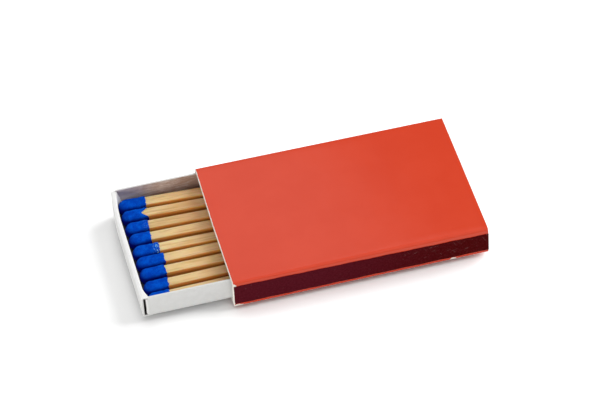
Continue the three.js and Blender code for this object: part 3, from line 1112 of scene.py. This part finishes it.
def tray_corner(side, hand):
    def at(depth, inset):
        y = hand * (tray_size.y / 2 - inset)
        return side * (tray_size.x / 2 - pushed_in(side, y) - depth), y

    fold = TRAY_CARD + TAB_STANDOFF[side, hand] + half_card
    corners = [
        at(corner_reach + CARD_OVERLAP, half_card),
        at(fold, half_card),
        at(TRAY_CARD + LAYER_GAP + half_card, TAB_LENGTH),
    ]
    line = fold_line(corners, [TRAY_CORNER - half_card], CORNER_CUTS)
    heights = even(TRAY_FOLD, tray_size.z - TRAY_CARD - TAB_DROP, CORNER_STATIONS)

    def place(spot, station):
        return tray_middle + Vector((*spot, heights[station]))

    return card_strip([line] * len(heights), TRAY_CARD, place)


print("tabs stand off, mm:", {corner: round(v / MM, 2) for corner, v in TAB_STANDOFF.items()})

# %% [markdown]
# ## One skin from seven strips
# The strips overlap a little where the real card runs on. They could stay loose in one object, but their
# hidden faces would show as seams. A union keeps only the outer skin, with the finish of each face. On
# strips that run the other way the lining is on the other side, so there the two sides are swapped.

# %% Joined tray
def swap_sides(strip):
    """Gives the lining to the other side of the card."""
    for face in strip.faces:
        if face.material_index != CUT:
            face.material_index = RIGHT if face.material_index == LEFT else LEFT
    return strip


def fold_tray():
    finishes = (raw_grey, lining, lining)
    tray = piece_from(tray_channel(), "tray_fold", finishes)
    tools = []
    for side in (-1, 1):
        end = tray_end(side)
        tools.append(piece_from(swap_sides(end) if side < 0 else end, "end", finishes))
        for hand in (-1, 1):
            corner = tray_corner(side, hand)
            tools.append(piece_from(swap_sides(corner) if side * hand > 0 else corner, "corner", finishes))
    for tool in tools:
        join = tray.modifiers.new("join", "BOOLEAN")
        join.operation = "UNION"
        join.solver = "MANIFOLD"
        join.object = tool
    plain(tray)
    for tool in tools:
        bpy.data.objects.remove(tool)
    shade(tray.data)
    print("tray:", len(tray.data.polygons), "faces")
    return tray


settle(fold_tray(), "tray", "tray")

# %% [markdown]
# ## Geometry trees for the matches
# Nine matches could be nine meshes, but they repeat one rule with other numbers, which is what Geometry
# Nodes are for. A tree takes its sizes as named inputs and a seed for whatever wanders. The result is
# turned into a plain mesh and laid along the axis of the CAD stick, so each match stays with its body.

# %% Trees with named inputs
GRAIN_SHIFT = (31.7, 9.3, 5.9)


def geometry_bench(name, inputs):
    """A geometry tree with named inputs, and the wires that bring them in."""
    tree = bpy.data.node_groups.new(name, "GeometryNodeTree")
    tree.interface.new_socket("Geometry", in_out="OUTPUT", socket_type="NodeSocketGeometry")
    for label, kind in inputs.items():
        tree.interface.new_socket(label, in_out="INPUT", socket_type="NodeSocket" + kind)
    bench = Bench(tree)
    source = tree.nodes.new("NodeGroupInput")
    return bench, [Wire(bench, source.outputs[label]) for label in inputs]


def store(bench, geometry, name, kind, value):
    settings = {"data_type": kind, "domain": "POINT"}
    sockets = {"Geometry": geometry, "Name": name, "Value": value}
    return bench.node("GeometryNodeStoreNamedAttribute", settings, sockets)


def store_grain(bench, geometry, seed):
    """Stores each point's place in mm, shifted by the seed, for the pattern of the finish."""
    in_mm = bench.node("GeometryNodeInputPosition").scaled(1 / MM)
    shift = bench.vector(*(seed * step for step in GRAIN_SHIFT))
    return store(bench, geometry, "grain", "FLOAT_VECTOR", in_mm.vector_math("ADD", shift))


def deliver(bench, geometry, finish):
    """Ends a tree: instances are made real and the finish is set."""
    whole = bench.node("GeometryNodeRealizeInstances", {}, {"Geometry": geometry})
    whole = bench.node("GeometryNodeSetMaterial", {}, {"Geometry": whole, "Material": finish})
    sink = bench.tree.nodes.new("NodeGroupOutput")
    bench.tree.links.new(whole.socket, sink.inputs[0])
    print("tree:", bench.tree.name, "with", len(bench.tree.nodes), "nodes")
    return bench.tree


def grow(tree, name, values):
    """Runs a tree with these inputs and keeps the result as a plain mesh."""
    piece = bpy.data.objects.new(name, bpy.data.meshes.new(name))
    bpy.context.scene.collection.objects.link(piece)
    maker = piece.modifiers.new("maker", "NODES")
    maker.node_group = tree
    for item in tree.interface.items_tree:
        if item.in_out == "INPUT":
            maker[item.identifier] = values[item.name]
    return plain(piece)


# %% [markdown]
# ## Match sticks
# A stick is a finely cut box. Its faces are roughened along the grain, and it bows a little between
# the head and the tail, as chopped wood does. A bump could roughen it too, but in a row of sticks the
# edges show, and only a real displacement frays them.

# %% Stick tree
STICK_CELLS = (72, 5, 5)
FRAY_RUN = (120.0, 2200.0, 2200.0)
FRAY_DETAIL = 3.0
MIDDLE_GREY = (0.5, 0.5, 0.5)


def stick_tree():
    labels = ("Start", "End", "Side", "Dip", "Bow", "Fray", "Seed")
    inputs = {label: "Float" for label in labels} | {"Finish": "Material"}
    bench, (start, end, side, dip, bow, fray, seed, finish) = geometry_bench("match stick", inputs)
    cells = dict(zip(("Vertices X", "Vertices Y", "Vertices Z"), (count + 1 for count in STICK_CELLS)))
    size = bench.vector(end - start, side, side)
    blank = bench.node("GeometryNodeMeshCube", {}, {"Size": size} | cells)
    middle = bench.vector((start + end) / 2, 0.0, 0.0)
    blank = bench.node("GeometryNodeTransform", {}, {"Geometry": blank, "Translation": middle})
    blank = store_grain(bench, blank, seed)
    place = bench.node("GeometryNodeInputPosition")
    x, y, z = bench.split(place)
    chopped = (y.math("ABSOLUTE") - z.math("ABSOLUTE")) / MM
    blank = store(bench, blank, "chopped", "FLOAT", chopped)
    blank = store(bench, blank, "along", "FLOAT", x / MM)
    share = ((x - dip) / (end - dip)).math("MAXIMUM", 0.0)
    wave = (share * math.pi).math("SINE") ** 2.0
    rough = bench.seeded_noise(place.stretched(FRAY_RUN), seed, 1.0, FRAY_DETAIL, "Color")
    stray = rough.vector_math("SUBTRACT", MIDDLE_GREY).scaled(fray)
    offset = stray.vector_math("ADD", bench.vector(0.0, bow * wave, 0.0))
    stick = bench.node("GeometryNodeSetPosition", {}, {"Geometry": blank, "Offset": offset})
    return deliver(bench, stick, finish)


match_stick = stick_tree()

# %% [markdown]
# ## Match heads
# A head is a lump that is rounded at the tip, square with round corners along the stick, and thin where
# the dip ended. A squeezed sphere would have no socket for the stick, so the head is wrapped from a grid:
# one way runs from the tip to the dip line and back inside as the socket, the other way goes round. The
# last three rows are the socket's rim, the edge of its end and the middle of that end. The dip line
# wanders, and it can have a notch.

# %% Head tree
HEAD_ROWS = 30
SOCKET_ROWS = 3
HEAD_COLUMNS = 48
TIP_SQUARENESS = 2.4
LINE_SQUARENESS = 12
SOCKET_SQUARENESS = 40.0
DRIFT_NOISE = (1.6, 3.0)
TEETH_NOISE = (4.5, 2.0)
LUMP_NOISE = (1.1, 2.0)
LUMP_RUN = 700.0
WELD = 0.001 * MM


def head_tree():
    labels = ("Width", "Nose", "Dip", "Taper", "Lip", "Socket", "Socket end", "Squareness", "Lumps")
    labels += ("Line drift", "Line teeth", "Notch depth", "Notch place", "Notch width", "Flaking", "Seed")
    inputs = {label: "Float" for label in labels} | {"Finish": "Material"}
    bench, wires = geometry_bench("match head", inputs)
    width, nose, dip, taper, lip, socket, socket_end, squareness, lumps = wires[:9]
    drift, teeth, notch_depth, notch_place, notch_width, flaking, seed, finish = wires[9:]
    rows = HEAD_ROWS + SOCKET_ROWS
    sizes = {"Size X": float(rows), "Size Y": float(HEAD_COLUMNS)}
    cells = {"Vertices X": rows + 1, "Vertices Y": HEAD_COLUMNS + 1}
    grid = bench.node("GeometryNodeMeshGrid", {}, sizes | cells)
    grid_x, grid_y, _ = bench.split(bench.node("GeometryNodeInputPosition"))
    row = grid_x + rows / 2
    angle = (grid_y + HEAD_COLUMNS / 2) * (2 * math.pi / HEAD_COLUMNS)
    cosine = angle.math("COSINE")
    sine = angle.math("SINE")
    turned_back, at_socket_end, at_pole = (
        row.math("GREATER_THAN", HEAD_ROWS + past + 0.5) for past in range(SOCKET_ROWS)
    )

    def drifting(where, noise):
        return bench.seeded_noise(where, seed, *noise) - 0.5

    apart = (angle - notch_place).math("ABSOLUTE") / notch_width
    notch = notch_depth * (1 - apart).math("MAXIMUM", 0.0)
    around = bench.vector(cosine, sine, 0.0)
    line = dip + drift * drifting(around, DRIFT_NOISE) + teeth * drifting(around, TEETH_NOISE) - notch
    share = (row / HEAD_ROWS).math("MINIMUM", 1.0)
    x = line * (1 - (share * (math.pi / 2)).math("COSINE"))
    to_full = (x / nose).math("MINIMUM", 1.0)
    round_tip = (1 - (1 - to_full) ** 2.0).math("MAXIMUM", 0.0).math("SQRT")
    thin = x.ramp(line - taper, line)
    lump = drifting(bench.vector(cosine, sine, x * LUMP_RUN), LUMP_NOISE) * lumps * (1 - thin) * to_full
    outside = (width / 2 * round_tip + lump) * (1 - thin) + lip * thin
    radius = outside * (1 - turned_back) + socket * turned_back * (1 - at_pole)
    power = TIP_SQUARENESS + (squareness - TIP_SQUARENESS) * to_full + LINE_SQUARENESS * thin
    power = power + (SOCKET_SQUARENESS - power) * turned_back
    spread = cosine.math("ABSOLUTE") ** power + sine.math("ABSOLUTE") ** power
    reach = radius * spread ** (-1 / power)
    along = x + (socket_end - line) * at_socket_end
    place = bench.vector(along, reach * cosine, reach * sine)
    wrapped = store(bench, grid, "to_line", "FLOAT", (line - x) / MM)
    wrapped = store(bench, wrapped, "flaking", "FLOAT", flaking)
    wrapped = bench.node("GeometryNodeSetPosition", {}, {"Geometry": wrapped, "Position": place})
    wrapped = store_grain(bench, wrapped, seed)
    height = bench.split(bench.node("GeometryNodeInputPosition"))[2] / MM
    wrapped = store(bench, wrapped, "height", "FLOAT", height)
    closed = bench.node("GeometryNodeMergeByDistance", {}, {"Geometry": wrapped, "Distance": WELD})
    return deliver(bench, closed, finish)


match_head = head_tree()

# %% [markdown]
# ## Measuring the matches
# The axis of each match comes from its CAD stick: the middles of its two end faces. The head's reach
# along that axis gives the tip and the dip line. The places could be typed in, but measured ones follow
# the model when its sizes change. The tip is drawn a little longer than the solid, and the stick starts
# a little later, hidden in the head.

# %% Measured matches
TIP_LONGER = 0.2 * MM
STICK_SHORTER = 0.4 * MM
SAME_SPOT_DIGITS = 7


def end_middle(points, pick):
    """The middle of the end face of a stick that lies along X."""
    edge = pick(p.x for p in points)
    near = {tuple(round(v, SAME_SPOT_DIGITS) for v in p) for p in points if abs(p.x - edge) < MM}
    return sum((Vector(p) for p in near), Vector()) / len(near)


def measure_match(number):
    stick = [v.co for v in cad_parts[f"stick_{number}"].data.vertices]
    head = [v.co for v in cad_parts[f"head_{number}"].data.vertices]
    start, end = end_middle(stick, min), end_middle(stick, max)
    axis = (end - start).normalized()
    up = (Vector((0, 0, 1)) - axis * axis.z).normalized()
    across = up.cross(axis)
    tip = min((p - start).dot(axis) for p in head) - TIP_LONGER
    origin = start + axis * tip
    turned = Matrix((axis, across, up)).transposed().to_4x4()
    sizes = {
        "Start": STICK_SHORTER - tip,
        "End": (end - origin).dot(axis),
        "Side": 2 * max((p - start).dot(up) for p in stick if (p - start).dot(axis) < MM),
        "Dip": max((p - origin).dot(axis) for p in head),
        "Width": 2 * max((p - origin).dot(up) for p in head),
    }
    print("match", number, {label: round(size / MM, 2) for label, size in sizes.items()})
    return Matrix.Translation(origin) @ turned, sizes


# %% [markdown]
# ## Laying the matches
# Both trees are run for each match, and a Bevel takes the edge off the stick's corners. The two objects
# could then be turned into place, but their meshes are turned instead, because a CAD node has its place in
# its mesh too. No two real matches are alike, so each has its own bow and its own line where the dip ended.
# One head has a notch, and two have flaked.

# %% Nine matches
MATCHES = 9
STICK_ROUNDING = 0.2 * MM
ROUNDED_ANGLE = math.radians(60)
STICK_BOWS = (0.0, 0.10, -0.08, 0.12, -0.10, 0.08, -0.06, 0.10, -0.04)
STICK_FRAY = 0.07 * MM
BOND_GAP = 0.02 * MM
HEAD_EDGE = 0.1 * MM
LINE_SHIFTS = (0.2, 0.2, 0.3, 0.25, 0.45, 0.15, 0.35, 0.75, 0.7)
NOTCHED = {8: 1.5 * MM}
FLAKED = {5: 1.0, 7: 0.15}
HEAD_FORM = {
    "Nose": 1.5 * MM,
    "Taper": 0.9 * MM,
    "Squareness": 4.2,
    "Lumps": 0.3 * MM,
    "Line drift": 0.9 * MM,
    "Line teeth": 0.5 * MM,
    "Notch place": math.radians(95),
    "Notch width": math.radians(50),
}


def turn_into_place(piece, place):
    mesh = bmesh.new()
    mesh.from_mesh(piece.data)
    bmesh.ops.recalc_face_normals(mesh, faces=mesh.faces)
    mesh.transform(place)
    mesh.to_mesh(piece.data)
    mesh.free()
    shade(piece.data)


def make_stick(number, sizes):
    own = {
        "Bow": STICK_BOWS[number - 1] * MM,
        "Fray": STICK_FRAY,
        "Seed": float(number),
        "Finish": split_wood,
    }
    stick = grow(match_stick, f"match_stick_{number}", sizes | own)
    rounding = stick.modifiers.new("rounding", "BEVEL")
    rounding.width = STICK_ROUNDING
    rounding.segments = 2
    rounding.limit_method = "ANGLE"
    rounding.angle_limit = ROUNDED_ANGLE
    return plain(stick)


def make_head(number, sizes):
    socket = sizes["Side"] / 2 + BOND_GAP
    own = {
        "Dip": sizes["Dip"] + LINE_SHIFTS[number - 1] * MM,
        "Lip": socket + HEAD_EDGE,
        "Socket": socket,
        "Socket end": sizes["Start"] - BOND_GAP,
        "Notch depth": NOTCHED.get(number, 0.0),
        "Flaking": FLAKED.get(number, 0.0),
        "Seed": float(number),
        "Finish": cobalt_compound,
    }
    return grow(match_head, f"match_head_{number}", sizes | HEAD_FORM | own)


def lay_match(number):
    place, sizes = measure_match(number)
    stick = make_stick(number, sizes)
    head = make_head(number, sizes)
    for piece in (stick, head):
        turn_into_place(piece, place)
    settle(stick, f"match_{number}", f"stick_{number}")
    settle(head, f"match_{number}", f"head_{number}")
    print("faces:", {piece.name: len(piece.data.polygons) for piece in (stick, head)})


for number in range(1, MATCHES + 1):
    lay_match(number)
